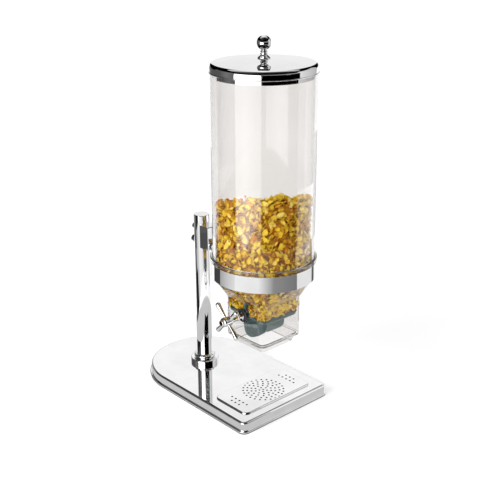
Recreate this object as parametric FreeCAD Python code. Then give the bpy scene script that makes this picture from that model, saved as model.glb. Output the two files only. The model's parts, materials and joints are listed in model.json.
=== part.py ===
"""Gravity bulk food bin: a clear hopper held over a drip tray by a column on a D-shaped base.

Millimetres.  +X is the user's right, +Y the back, +Z up.  The origin lies under the hopper's
axis, on the face that the bin rests on.
"""
import FreeCAD, Part
import math
import os

V = FreeCAD.Vector

# ---- driving dimensions -------------------------------------------------------------------
# base: a pressed shell with a hem round its foot, over a core, on a rubber pad
base_width = 212.0
base_length = 340.0
base_corner_r = 10.0
pad_thickness = 2.0
pad_inset = 0.6
shell_height = 20.0
shell_wall = 1.5
shell_edge_r = 4.0
hem_reach = 3.0
hem_height = 2.8
hem_edge_r = 1.4
core_screw_inset = 14.0
core_screw_rear_angle = 20.0
boss_r = 4.0
boss_length = 12.5
core_screw_r = 1.6
core_screw_length = 14.0
core_screw_head_r = 3.8
core_screw_head_h = 2.2

# drip tray
tray_side_margin = 22.0
tray_front_margin = 19.5
grille_width = 86.0
grille_corner_r = 11.0
grille_wall = 1.3
grille_edge_r = 1.9
drain_r = 2.0
drain_pitch = 10.0
drain_ring_count = 5
drain_ring_turn = 7.5
drain_edge_margin = 5.0
drain_end_margin = 14.0
basin_rim_inset = 2.2
basin_rim_width = 4.3
basin_rim_t = 1.0
basin_wall = 1.2
basin_depth = 9.7
basin_corner_r = 7.0

# column
column_r = 15.0
column_wall = 2.0
column_rise = 17.5
column_cap_t = 3.3
column_cap_edge = 0.8
column_cap_plug = 13.0
foot_reach = 12.5
foot_h = 9.0
foot_edge_r = 2.0
collar_bead_reach = 6.0
collar_seat_wall = 1.8
collar_seat_h = 1.3
collar_bead_h = 6.8
collar_neck_h = 1.0
plug_length = 27.7
column_bolt_r = 5.0
column_bolt_length = 39.6
column_bolt_head_r = 8.5
column_bolt_head_h = 6.4
column_washer_r = 10.5
column_washer_t = 1.6

# bracket and ring
ring_lift = 239.0
ring_height = 29.5
ring_wall = 1.3
arm_length = 44.3
arm_r = 11.0
arm_neck_r = 8.5
arm_end_length = 8.0
block_width = 25.4
block_height = 45.5
block_depth = 18.0
block_wrap = 6.0
block_edge = 1.0
block_below_arm = 8.5
arm_screw_r = 4.0
arm_screw_grip = 20.0
arm_screw_head_r = 6.5
arm_screw_head_h = 8.0
lock_screw_r = 3.0
lock_screw_rise = 26.0
lock_screw_head_r = 5.0
lock_screw_head_h = 6.0
drill_point = 2.0
screw_socket_share = 0.45
saddle_washer_t = 2.0
saddle_washer_brim = 1.5

# hopper
tube_r = 90.0
tube_wall = 4.0
tube_length = 360.6
socket_depth = 24.5
socket_wall = 1.3
lip_height = 7.7
lip_reach = 3.0
lip_edge_r = 1.5
throat_ledge = 4.0
throat_height = 3.0
tube_seal_t = 1.2

# funnel and outlet
box_half = 49.5
box_corner_r = 12.0
box_wall = 2.2
transition_height = 44.0
crease_half_angle = 3.0
chute_drop = 14.7
chute_flange_h = 2.5
chute_shoulder = 5.5
chute_taper = 6.0
chute_wall = 2.0
chute_top_corner_r = 9.0
chute_bottom_corner_r = 6.0

# rotor
rotor_below_box_top = 23.0
vane_count = 4
vane_thickness = 4.0
vane_corner_r = 16.0
rotor_hub_r = 9.0
shaft_r = 4.0
bush_spigot_wall = 3.9
bush_flange_r = 12.0
bush_flange_t = 4.0
far_flange_r = 12.0
far_flange_t = 3.0
flange_edge = 1.0
clip_r = 6.5
clip_t = 1.5
end_cap_r = 7.0
end_cap_side = 1.8
end_cap_dome = 2.6
end_cap_grip = 2.6

# handle
handle_reach = 37.5
hub_r = 8.5
hub_end_r = 6.2
hub_front = 11.0
hub_back = 9.5
hub_nose = 4.0
hub_taper = 3.0
hub_floor = 2.0
hub_cap_t = 3.6
hub_cap_step = 0.5
hub_cap_round = 1.5
spoke_count = 4
spoke_length = 38.0
spoke_start = 5.2
spoke_root_r = 2.6
spoke_tip_r = 4.8
grub_r = 1.5
grub_sink = 0.6
grub_from_spokes = 2.2
sleeve_r = 5.6
sleeve_end_r = 5.0
sleeve_end_length = 6.0
sleeve_bead_r = 7.0
sleeve_bead_half = 2.0
sleeve_bead_from_hub = 13.7
sleeve_neck_r = 4.8
sleeve_flange_r = 8.5
sleeve_flange_t = 2.0

# lid
lid_sheet = 0.8
lid_skirt = 9.0
lid_rise = 7.0
lid_shoulder_r = 7.5
lid_dome = 6.0
lid_bead = 0.8
lid_bead_h = 2.0
lid_plug_wall = 2.2
lid_plug_drop = 16.0
lid_plug_chamfer = 0.6
lid_flange_inset = 1.0
lid_flange_t = 1.2
lid_seal_width = 2.8
knob_ball_r = 12.2
knob_rise = 25.0
knob_foot_r = 10.4
knob_foot_h = 1.4
knob_neck_r = 4.0
knob_collar_r = 6.5
knob_collar_h = 2.0
knob_bead_r = 6.0
knob_bead_h = 3.0
knob_screw_r = 2.5
knob_screw_bite = 9.0
knob_screw_head_r = 4.5
knob_screw_head_h = 2.5
knob_washer_r = 9.0
knob_washer_t = 1.2

# contents
fill_depth = 134.0
fill_slope_x = -0.179
fill_slope_y = -0.277

# clearances
slip = 0.3
running = 0.05
rest_gap = 0.2
hidden_gap = 1.0
basin_play = 0.8
pocket_play = 2.0
plug_play = 0.5
rotor_play = 0.8
rotor_end_play = 1.1
rotor_floor_play = 1.0
fill_gap = 0.4
fill_rotor_gap = 1.5

# ---- places worked out from them ----------------------------------------------------------
over = 1.0
mid_arc = math.sqrt(0.5)
base_top = pad_thickness + shell_height
grille_half_x = base_width / 2 - tray_side_margin
grille_half_y = grille_width / 2
base_front_y = -(grille_half_y + tray_front_margin)
arc_centre_y = base_front_y + base_length - base_width / 2
socket_r = tube_r + slip
socket_outer_r = socket_r + socket_wall
ring_inner_r = socket_outer_r + slip
ring_outer_r = ring_inner_r + ring_wall
ring_low = base_top + ring_lift
ring_top = ring_low + ring_height
ring_mid = ring_low + ring_height / 2
block_front_y = ring_outer_r + arm_length
column_front_y = block_front_y + block_depth
column_y = column_front_y + column_r
block_low = ring_mid - block_below_arm
column_top = block_low + block_height + column_rise
socket_floor = ring_top - socket_depth
throat_r = tube_r - throat_ledge
throat_low = socket_floor - throat_height
tube_inner_r = tube_r - tube_wall
tube_low = socket_floor + tube_seal_t + rest_gap
tube_top = tube_low + tube_length
box_top = ring_low - transition_height
box_inner_half = box_half - box_wall
box_inner_r = box_corner_r - box_wall
rotor_z = box_top - rotor_below_box_top
rotor_r = box_inner_half - rotor_play
rotor_half = box_inner_half - rotor_end_play
chute_flange_top = rotor_z - rotor_r - rotor_floor_play
chute_flange_low = chute_flange_top - chute_flange_h
box_low = chute_flange_low - slip


# ---- shape helpers ------------------------------------------------------------------------
def cylinder(radius, low, high, x=0.0, y=0.0):
    """An upright cylinder between two heights."""
    return Part.makeCylinder(radius, high - low, V(x, y, low))


def tube(outer, inner, low, high):
    """An upright ring with square edges."""
    return cylinder(outer, low, high).cut(cylinder(inner, low - over, high + over))


def turned(start, *path):
    """A solid turned about Z from (radius, height) points; four numbers make an arc."""
    first = V(start[0], 0, start[1])
    here = first
    edges = []
    for step in path:
        end = V(step[-2], 0, step[-1])
        if len(step) == 4:
            edges.append(Part.Arc(here, V(step[0], 0, step[1]), end).toShape())
        else:
            edges.append(Part.LineSegment(here, end).toShape())
        here = end
    edges.append(Part.LineSegment(here, first).toShape())
    return Part.Face(Part.Wire(edges)).revolve(V(0, 0, 0), V(0, 0, 1), 360)


def dome_middle(radius, height):
    """The point halfway along the arc of a dome from its rim to its top, from the rim's level."""
    sphere_r = (radius ** 2 + height ** 2) / (2 * height)
    half_angle = math.asin(radius / sphere_r) / 2
    return sphere_r * math.sin(half_angle), height - sphere_r * (1 - math.cos(half_angle))


def along_x(shape):
    """Lays a piece turned about Z on the rotor's axis, with its heights as X."""
    shape.rotate(V(0, 0, 0), V(0, 1, 0), 90)
    shape.translate(V(0, 0, rotor_z))
    return shape


def along_y(shape, height):
    """Lays a piece turned about Z along Y at one height, with its heights as Y."""
    shape.rotate(V(0, 0, 0), V(1, 0, 0), -90)
    shape.translate(V(0, 0, height))
    return shape


def on_column(shape):
    """Moves a piece turned about Z to the column."""
    shape.translate(V(0, column_y, 0))
    return shape


def prism(wire, low, high):
    """A wire drawn at z = 0, raised between two heights."""
    solid = Part.Face(wire).extrude(V(0, 0, high - low))
    solid.translate(V(0, 0, low))
    return solid


def top_edges(shape):
    """The edges round a solid's flat top."""
    top = shape.BoundBox.ZMax
    return [edge for edge in shape.Edges if edge.BoundBox.ZMin > top - 1e-4]


def polar(centre, radius, degrees):
    """A point at an angle round a centre, at the centre's height."""
    a = math.radians(degrees)
    return centre + V(radius * math.cos(a), radius * math.sin(a), 0)


def arc(centre, radius, start, end):
    """An arc between two angles."""
    points = [polar(centre, radius, angle) for angle in (start, (start + end) / 2, end)]
    return Part.Arc(*points).toShape()


def d_outline(inset):
    """The base's outline: a straight front, straight sides and a half-round back."""
    half = base_width / 2 - inset
    front = base_front_y + inset
    r = base_corner_r - inset
    edges = [
        Part.LineSegment(V(-half, arc_centre_y, 0), V(-half, front + r, 0)).toShape(),
        arc(V(-half + r, front + r, 0), r, 180, 270),
        Part.LineSegment(V(-half + r, front, 0), V(half - r, front, 0)).toShape(),
        arc(V(half - r, front + r, 0), r, 270, 360),
        Part.LineSegment(V(half, front + r, 0), V(half, arc_centre_y, 0)).toShape(),
        arc(V(0, arc_centre_y, 0), half, 0, 180),
    ]
    return Part.Wire(edges)


def rounded_rectangle(half_x, half_y, r, z=0.0):
    """Four straight sides and four corner arcs, from the +X side round to the left."""
    edges = []
    previous = V(half_x, -(half_y - r), z)
    for sign_x, sign_y, turn in ((1, 1, 0), (-1, 1, 90), (-1, -1, 180), (1, -1, 270)):
        centre = V(sign_x * (half_x - r), sign_y * (half_y - r), z)
        edges.append(Part.LineSegment(previous, polar(centre, r, turn)).toShape())
        edges.append(arc(centre, r, turn, turn + 90))
        previous = polar(centre, r, turn + 90)
    return Part.Wire(edges)


def creased_circle(radius, z):
    """A circle in eight arcs: a short one for each flat side and a long one for each corner."""
    edges = []
    for middle in (0.0, 90.0, 180.0, 270.0):
        edges.append(arc(V(0, 0, z), radius, middle - crease_half_angle, middle + crease_half_angle))
        edges.append(arc(V(0, 0, z), radius, middle + crease_half_angle, middle + 90 - crease_half_angle))
    return Part.Wire(edges)


def square_to_round(half, corner_r, low, radius, high):
    """The funnel's transition: flat triangles on the sides and cones at the corners."""
    wires = [rounded_rectangle(half, half, corner_r, low), creased_circle(radius, high)]
    return Part.makeLoft(wires, True, True)


def square_taper(low_half, low_r, low, high_half, high_r, high):
    """A square block with round corners that widens upwards."""
    wires = [rounded_rectangle(low_half, low_half, low_r, low),
             rounded_rectangle(high_half, high_half, high_r, high)]
    return Part.makeLoft(wires, True, True)


def screw(shank_r, shank_low, shank_high, head_r, head_low, head_high):
    """A cap screw turned about Z, with its head at either end."""
    shank = cylinder(shank_r, shank_low, shank_high)
    return shank.fuse(cylinder(head_r, head_low, head_high)).removeSplitter()


pieces = {}

# ---- base ---------------------------------------------------------------------------------
pieces["base_pad"] = prism(d_outline(pad_inset - hem_reach), 0, pad_thickness)

shell_roof = base_top - shell_wall
cavity_edge_r = shell_edge_r - shell_wall
rim_half_x = grille_half_x - basin_rim_inset
rim_half_y = grille_half_y - basin_rim_inset
pan_half_x = rim_half_x - basin_rim_width
pan_half_y = rim_half_y - basin_rim_width
bolt_hole_r = column_bolt_r + 2 * slip
shell = prism(d_outline(0), pad_thickness, base_top)
shell = shell.makeFillet(shell_edge_r, top_edges(shell))
hem = prism(d_outline(-hem_reach), pad_thickness, pad_thickness + hem_height)
shell = shell.fuse(hem.makeFillet(hem_edge_r, top_edges(hem))).removeSplitter()
cavity = prism(d_outline(shell_wall), pad_thickness, shell_roof)
shell = shell.cut(cavity.makeFillet(cavity_edge_r, top_edges(cavity)))
tray_hole = rounded_rectangle(pan_half_x + basin_play, pan_half_y + basin_play, basin_corner_r + basin_play)
shell = shell.cut(prism(tray_hole, shell_roof - over, base_top + over))
pieces["base_shell"] = shell.cut(cylinder(bolt_hole_r, shell_roof - over, base_top + over, 0, column_y))

core_top = shell_roof - slip
core = prism(d_outline(shell_wall + slip), pad_thickness, core_top)
core = core.makeFillet(cavity_edge_r, top_edges(core))
basin_low = base_top + rest_gap - basin_depth
pocket = rounded_rectangle(pan_half_x + pocket_play, pan_half_y + pocket_play, basin_corner_r + pocket_play)
core = core.cut(prism(pocket, basin_low - slip, core_top + over))

screw_x = base_width / 2 - core_screw_inset
rear_spot = polar(V(0, arc_centre_y, 0), screw_x, core_screw_rear_angle)
front_spot_y = base_front_y + core_screw_inset
screw_spots = ((-screw_x, front_spot_y), (screw_x, front_spot_y),
               (-rear_spot.x, rear_spot.y), (rear_spot.x, rear_spot.y))
boss_low = shell_roof - boss_length
screw_head_low = pad_thickness + rest_gap
screw_head_top = screw_head_low + core_screw_head_h
screw_top = screw_head_top + core_screw_length
bosses = []
core_screws = []
for spot_x, spot_y in screw_spots:
    core = core.cut(cylinder(boss_r + slip, boss_low, core_top + over, spot_x, spot_y))
    core = core.cut(cylinder(core_screw_r + slip, pad_thickness, boss_low, spot_x, spot_y))
    core = core.cut(cylinder(core_screw_head_r + slip, pad_thickness, screw_head_top, spot_x, spot_y))
    boss = cylinder(boss_r, boss_low, shell_roof, spot_x, spot_y)
    bosses.append(boss.cut(cylinder(core_screw_r + running, boss_low, screw_top + hidden_gap, spot_x, spot_y)))
    core_screw = screw(core_screw_r, screw_head_top, screw_top,
                       core_screw_head_r, screw_head_low, screw_head_top)
    core_screw.translate(V(spot_x, spot_y, 0))
    core_screws.append(core_screw)
bolt_head_low = pad_thickness + 2 * hidden_gap
washer_low = bolt_head_low + column_bolt_head_h
washer_top = washer_low + column_washer_t
core = core.cut(cylinder(column_washer_r + slip, pad_thickness, washer_top, 0, column_y))
pieces["base_core"] = core.cut(cylinder(bolt_hole_r, pad_thickness, core_top + over, 0, column_y))
pieces["shell_bosses"] = Part.makeCompound(bosses)
pieces["core_screws"] = Part.makeCompound(core_screws)

# ---- drip tray ----------------------------------------------------------------------------
rim_low = base_top + rest_gap
rim_top = rim_low + basin_rim_t
rim = prism(rounded_rectangle(rim_half_x, rim_half_y, basin_corner_r + basin_rim_width), rim_low, rim_top)
pan = prism(rounded_rectangle(pan_half_x, pan_half_y, basin_corner_r), basin_low, rim_top)
pan_inside = rounded_rectangle(pan_half_x - basin_wall, pan_half_y - basin_wall, basin_corner_r - basin_wall)
basin = rim.fuse(pan).cut(prism(pan_inside, basin_low + basin_wall, rim_top + over))
pieces["drip_basin"] = basin.removeSplitter()

grille_roof = rim_top + rest_gap
grille_top = grille_roof + grille_wall
grille = prism(rounded_rectangle(grille_half_x, grille_half_y, grille_corner_r), rim_low, grille_top)
grille = grille.makeFillet(grille_edge_r, top_edges(grille))
grille_inside = rounded_rectangle(grille_half_x - grille_wall, grille_half_y - grille_wall,
                                  grille_corner_r - grille_wall)
grille = grille.cut(prism(grille_inside, rim_low - over, grille_roof))
drain_spots = [V(0, 0, 0)]
drain_ring_step = (grille_half_y - drain_edge_margin) / drain_ring_count
for ring_number in range(1, drain_ring_count + 1):
    drain_ring_r = drain_ring_step * ring_number
    drain_count = round(2 * math.pi * drain_ring_r / drain_pitch)
    for number in range(drain_count):
        angle = 360.0 * number / drain_count + drain_ring_turn * ring_number
        drain_spots.append(polar(V(0, 0, 0), drain_ring_r, angle))
outer_column_x = grille_half_x - drain_end_margin
for side in (-1, 1):
    for row in (-1, 0, 1):
        drain_spots.append(V(side * outer_column_x, row * drain_pitch, 0))
    for row in (-2, -1, 0, 1, 2):
        drain_spots.append(V(side * (outer_column_x - drain_pitch), row * drain_pitch, 0))
drains = [cylinder(drain_r, rim_low, grille_top + over, spot.x, spot.y) for spot in drain_spots]
pieces["drip_grille"] = grille.cut(Part.makeCompound(drains))

# ---- column -------------------------------------------------------------------------------
column_bore_r = column_r - column_wall
cap_low = column_top - column_cap_t
cap_plug_low = cap_low - column_cap_plug
lock_z = ring_mid + lock_screw_rise
column = tube(column_r, column_bore_r, base_top, cap_low)
for hole_r, hole_z in ((arm_screw_r, ring_mid), (lock_screw_r, lock_z)):
    column = column.cut(along_y(cylinder(hole_r + slip, -2 * column_r, 2 * column_r), hole_z))
pieces["column_tube"] = on_column(column)

plug_r = column_bore_r - running
pieces["column_cap"] = on_column(turned(
    (0, cap_plug_low), (plug_r, cap_plug_low), (plug_r, cap_low), (column_r, cap_low),
    (column_r, column_top - column_cap_edge), (column_r - column_cap_edge, column_top), (0, column_top)))

fitted_r = column_r + running
foot_r = column_r + foot_reach
foot_top = base_top + foot_h
foot_round = foot_edge_r * (1 - mid_arc)
pieces["column_foot"] = on_column(turned(
    (fitted_r, base_top), (foot_r, base_top), (foot_r, foot_top - foot_edge_r),
    (foot_r - foot_round, foot_top - foot_round, foot_r - foot_edge_r, foot_top), (fitted_r, foot_top)))

collar_seat_r = column_r + collar_seat_wall
bead_low = foot_top + collar_seat_h
bead_high = bead_low + collar_bead_h
collar_top = bead_high + collar_neck_h
pieces["column_collar"] = on_column(turned(
    (fitted_r, foot_top), (collar_seat_r, foot_top), (collar_seat_r, bead_low),
    (column_r + collar_bead_reach, (bead_low + bead_high) / 2, collar_seat_r, bead_high),
    (collar_seat_r - collar_neck_h, collar_top), (fitted_r, collar_top)))

plug_low = base_top + rest_gap
column_plug = tube(plug_r, column_bolt_r + running, plug_low, plug_low + plug_length)
pieces["column_plug"] = on_column(column_plug)
bolt_head_corners = [polar(V(0, 0, 0), column_bolt_head_r, 60 * corner) for corner in range(7)]
bolt = cylinder(column_bolt_r, washer_low, washer_low + column_bolt_length)
bolt = bolt.fuse(prism(Part.makePolygon(bolt_head_corners), bolt_head_low, washer_low))
pieces["column_bolt"] = on_column(bolt)
column_washer = tube(column_washer_r, column_bolt_r + slip, washer_low, washer_top)
pieces["column_washer"] = on_column(column_washer)

# ---- bracket and ring ---------------------------------------------------------------------
pieces["holder_ring"] = tube(ring_outer_r, ring_inner_r, ring_low, ring_top)

arm_step = arm_r - arm_neck_r
arm_start = ring_outer_r - arm_r
thread_end = block_front_y - arm_screw_grip
arm = turned(
    (0, arm_start), (arm_r, arm_start), (arm_r, ring_outer_r + arm_end_length),
    (arm_neck_r, ring_outer_r + arm_end_length + arm_step),
    (arm_neck_r, block_front_y - arm_end_length - arm_step), (arm_r, block_front_y - arm_end_length),
    (arm_r, block_front_y), (0, block_front_y))
arm = arm.cut(cylinder(arm_screw_r + running, thread_end - drill_point, block_front_y + over))
arm = along_y(arm, ring_mid)
pieces["bracket_arm"] = arm.cut(cylinder(ring_outer_r, ring_low, ring_top))

block_length = block_depth + block_wrap
block = Part.makeBox(block_width, block_length, block_height, V(-block_width / 2, block_front_y, block_low))
front_edges = [edge for edge in block.Edges if edge.BoundBox.YMax < block_front_y + block_edge]
block = block.makeChamfer(block_edge, front_edges)
block = block.cut(cylinder(fitted_r, block_low - over, block_low + block_height + over, 0, column_y))
block = block.cut(along_y(cylinder(arm_screw_r + running, block_front_y - over, column_y), ring_mid))
lock_tip_y = block_front_y + 2 * drill_point
block = block.cut(along_y(cylinder(lock_screw_r + running, lock_tip_y - drill_point, column_y), lock_z))
pieces["saddle_block"] = block

head_y = column_y + column_r + saddle_washer_t
bracket_screws = []
saddle_washers = []
for shank_r, tip_y, height, head_r, head_h in (
        (arm_screw_r, thread_end, ring_mid, arm_screw_head_r, arm_screw_head_h),
        (lock_screw_r, lock_tip_y, lock_z, lock_screw_head_r, lock_screw_head_h)):
    bracket_screw = screw(shank_r, tip_y, head_y, head_r, head_y, head_y + head_h)
    socket = cylinder(head_r * screw_socket_share, head_y + head_h / 2, head_y + head_h)
    bracket_screws.append(along_y(bracket_screw.cut(socket), height))
    washer = tube(head_r + saddle_washer_brim, shank_r + slip, column_y + column_r / 2, head_y)
    seat = cylinder(fitted_r, height - 2 * head_r, height + 2 * head_r, 0, column_y)
    saddle_washers.append(along_y(washer, height).cut(seat))
pieces["bracket_screws"] = Part.makeCompound(bracket_screws)
pieces["saddle_washers"] = Part.makeCompound(saddle_washers)

# ---- funnel -------------------------------------------------------------------------------
box_outline = rounded_rectangle(box_half, box_half, box_corner_r)
box_inside = rounded_rectangle(box_inner_half, box_inner_half, box_inner_r)
lip_low = ring_top + slip
lip_top = lip_low + lip_height
lip_r = socket_outer_r + lip_reach
lip_round = lip_edge_r * (1 - mid_arc)
lip = turned(
    (0, lip_low), (lip_r, lip_low), (lip_r, lip_top - lip_edge_r),
    (lip_r - lip_round, lip_top - lip_round, lip_r - lip_edge_r, lip_top), (0, lip_top))
funnel = square_to_round(box_half, box_corner_r, box_top, socket_outer_r, ring_low)
funnel = funnel.fuse([prism(box_outline, box_low, box_top), cylinder(socket_outer_r, ring_low, lip_low), lip])
hollow = square_to_round(box_inner_half, box_inner_r, box_top, throat_r, throat_low)
hollow = hollow.fuse([prism(box_inside, box_low - over, box_top), cylinder(throat_r, throat_low, socket_floor),
                      cylinder(socket_r, socket_floor, lip_top + over)])
bush_spigot_r = shaft_r + bush_spigot_wall
shaft_holes = along_x(cylinder(bush_spigot_r + 2 * running, -box_half - over, box_half + over))
pieces["funnel_body"] = funnel.cut([hollow, shaft_holes])

chute_top_half = box_half - chute_shoulder
chute_end_half = chute_top_half - chute_taper
chute_low = box_low - chute_drop
flange_half = box_inner_half - slip
flange_outline = rounded_rectangle(flange_half, flange_half, box_inner_r - slip)
flange = prism(flange_outline, chute_flange_low, chute_flange_top)
chute = square_taper(chute_end_half, chute_bottom_corner_r, chute_low,
                     chute_top_half, chute_top_corner_r, chute_flange_low)
passage = square_taper(chute_end_half - chute_wall, chute_bottom_corner_r - chute_wall, chute_low,
                       chute_top_half - chute_wall, chute_top_corner_r - chute_wall, chute_flange_top)
pieces["outlet_chute"] = chute.fuse(flange).cut(passage)

pieces["tube_seal"] = tube(tube_r, throat_r, socket_floor, socket_floor + tube_seal_t)
pieces["hopper_tube"] = tube(tube_r, tube_inner_r, tube_low, tube_top)

# ---- rotor --------------------------------------------------------------------------------
bore_r = shaft_r + running
wheel = along_x(cylinder(rotor_hub_r, -rotor_half, rotor_half))
bend = rotor_half - vane_corner_r
vane_outline = Part.Wire([
    Part.LineSegment(V(rotor_half, 0, 0), V(rotor_half, rotor_r - vane_corner_r, 0)).toShape(),
    arc(V(bend, rotor_r - vane_corner_r, 0), vane_corner_r, 0, 90),
    Part.LineSegment(V(bend, rotor_r, 0), V(-bend, rotor_r, 0)).toShape(),
    arc(V(-bend, rotor_r - vane_corner_r, 0), vane_corner_r, 90, 180),
    Part.LineSegment(V(-rotor_half, rotor_r - vane_corner_r, 0), V(-rotor_half, 0, 0)).toShape(),
    Part.LineSegment(V(-rotor_half, 0, 0), V(rotor_half, 0, 0)).toShape(),
])
for number in range(vane_count):
    vane = prism(vane_outline, -vane_thickness / 2, vane_thickness / 2)
    vane.rotate(V(0, 0, 0), V(1, 0, 0), 360.0 * number / vane_count)
    vane.translate(V(0, 0, rotor_z))
    wheel = wheel.fuse(vane)
wheel = wheel.cut(along_x(cylinder(bore_r, -rotor_half - over, rotor_half + over)))
pieces["paddle_wheel"] = wheel.common(along_x(cylinder(rotor_r, -rotor_half, rotor_half)))

bush_face = -box_half - bush_flange_t
far_face = box_half + far_flange_t
pieces["bush_left"] = along_x(turned(
    (bore_r, bush_face), (bush_flange_r - flange_edge, bush_face), (bush_flange_r, bush_face + flange_edge),
    (bush_flange_r, -box_half), (bush_spigot_r, -box_half), (bush_spigot_r, -box_inner_half),
    (bore_r, -box_inner_half)))
pieces["bush_right"] = along_x(turned(
    (bore_r, box_inner_half), (bush_spigot_r, box_inner_half), (bush_spigot_r, box_half),
    (far_flange_r, box_half), (far_flange_r, far_face - flange_edge), (far_flange_r - flange_edge, far_face),
    (bore_r, far_face)))

clip_low = far_face + slip
end_cap_low = clip_low + clip_t
end_cap_bend = end_cap_low + end_cap_side
shaft_far_end = end_cap_low + end_cap_grip
end_dome_x, end_dome_rise = dome_middle(end_cap_r, end_cap_dome)
end_cap = turned(
    (0, end_cap_low), (end_cap_r, end_cap_low), (end_cap_r, end_cap_bend),
    (end_dome_x, end_cap_bend + end_dome_rise, 0, end_cap_bend + end_cap_dome))
pieces["shaft_end_cap"] = along_x(end_cap.cut(cylinder(shaft_r, end_cap_low, shaft_far_end)))
pieces["shaft_clip"] = along_x(tube(clip_r, shaft_r, clip_low, end_cap_low))

# ---- handle -------------------------------------------------------------------------------
spoke_x = -box_half - handle_reach
hub_low = spoke_x - hub_front
hub_high = spoke_x + hub_back
shaft_near_end = hub_low + hub_floor
pieces["rotor_shaft"] = along_x(cylinder(shaft_r, shaft_near_end, shaft_far_end))

sleeve_high = bush_face - slip
bead_x = hub_high + sleeve_bead_from_hub
bead_end = bead_x + sleeve_bead_half
pieces["stem_sleeve"] = along_x(turned(
    (shaft_r, hub_high), (sleeve_end_r, hub_high), (sleeve_r, hub_high + sleeve_end_length),
    (sleeve_r, bead_x - sleeve_bead_half), (sleeve_bead_r, bead_x, sleeve_r, bead_end),
    (sleeve_neck_r, bead_end), (sleeve_neck_r, sleeve_high - sleeve_flange_t),
    (sleeve_flange_r, sleeve_high - sleeve_flange_t), (sleeve_flange_r, sleeve_high), (shaft_r, sleeve_high)))

hub_nose_r = hub_end_r + (hub_r - hub_end_r) * mid_arc
hub_nose_x = hub_low + hub_nose * (1 - mid_arc)
hub = turned(
    (0, hub_low), (hub_end_r, hub_low), (hub_nose_r, hub_nose_x, hub_r, hub_low + hub_nose),
    (hub_r, hub_high - hub_taper), (hub_end_r, hub_high), (0, hub_high))
hub = along_x(hub.cut(cylinder(shaft_r, shaft_near_end, hub_high + over)))
tip_height = spoke_length - spoke_tip_r
spokes = []
for number in range(spoke_count):
    spoke = turned(
        (0, spoke_start), (spoke_root_r, spoke_start), (spoke_root_r, hub_r), (spoke_tip_r, tip_height),
        (spoke_tip_r * mid_arc, tip_height + spoke_tip_r * mid_arc, 0, spoke_length))
    socket = cylinder(spoke_root_r + running, spoke_start, hub_r + over)
    for shape in (spoke, socket):
        shape.rotate(V(0, 0, 0), V(1, 0, 0), 360.0 * (number + 0.5) / spoke_count)
        shape.translate(V(spoke_x, 0, rotor_z))
    hub = hub.cut(socket)
    spokes.append(spoke)
pieces["handle_spokes"] = Part.makeCompound(spokes)
grub_x = spoke_x + spoke_root_r + grub_from_spokes
grub = cylinder(grub_r, -hub_r + grub_sink, -shaft_r)
grub.translate(V(grub_x, 0, rotor_z))
pieces["hub_grub_screw"] = grub
grub_hole = cylinder(grub_r + running, -hub_r - over, 0)
grub_hole.translate(V(grub_x, 0, rotor_z))
pieces["handle_hub"] = hub.cut(grub_hole)
hub_cap_r = hub_end_r - hub_cap_step
hub_cap_out = hub_low - hub_cap_t
cap_round = hub_cap_round * (1 - mid_arc)
pieces["hub_cap"] = along_x(turned(
    (0, hub_low), (hub_cap_r, hub_low), (hub_cap_r, hub_cap_out + hub_cap_round),
    (hub_cap_r - cap_round, hub_cap_out + cap_round, hub_cap_r - hub_cap_round, hub_cap_out),
    (0, hub_cap_out)))

# ---- lid ----------------------------------------------------------------------------------
lid_inner_r = tube_r + slip
lid_outer_r = lid_inner_r + lid_sheet
shoulder_x = lid_outer_r - lid_shoulder_r
shoulder_top = tube_top + lid_rise
shoulder_low = shoulder_top - lid_shoulder_r
lid_low = tube_top - lid_skirt
dome_top = shoulder_top + lid_dome
dome_x, dome_rise = dome_middle(shoulder_x, lid_dome)
under_top = shoulder_top - lid_sheet
outer_bend = lid_shoulder_r * mid_arc
inner_bend = (lid_shoulder_r - lid_sheet) * mid_arc
lid = turned(
    (0, dome_top), (dome_x, shoulder_top + dome_rise, shoulder_x, shoulder_top),
    (shoulder_x + outer_bend, shoulder_low + outer_bend, lid_outer_r, shoulder_low),
    (lid_outer_r, lid_low + lid_bead_h),
    (lid_outer_r + lid_bead, lid_low + lid_bead_h / 2, lid_outer_r, lid_low),
    (lid_inner_r, lid_low), (lid_inner_r, shoulder_low),
    (shoulder_x + inner_bend, shoulder_low + inner_bend, shoulder_x, under_top),
    (dome_x, under_top + dome_rise, 0, dome_top - lid_sheet))
pieces["lid_cap"] = lid.cut(cylinder(knob_screw_r + slip, shoulder_top, dome_top + over))

lid_seal_top = tube_top + tube_seal_t
lid_flange_top = lid_seal_top + lid_flange_t
lid_flange_r = tube_r - lid_flange_inset
plug_outer_r = tube_inner_r - plug_play
plug_inner_r = plug_outer_r - lid_plug_wall
pieces["lid_plug"] = turned(
    (plug_inner_r, tube_top - lid_plug_drop), (plug_outer_r, tube_top - lid_plug_drop),
    (plug_outer_r, lid_seal_top), (lid_flange_r, lid_seal_top), (lid_flange_r, lid_flange_top),
    (plug_outer_r, lid_flange_top), (plug_outer_r, under_top - lid_plug_chamfer),
    (shoulder_x, under_top), (plug_inner_r, under_top))
pieces["lid_seal"] = tube(lid_flange_r, lid_flange_r - lid_seal_width, tube_top + rest_gap, lid_seal_top)

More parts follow.
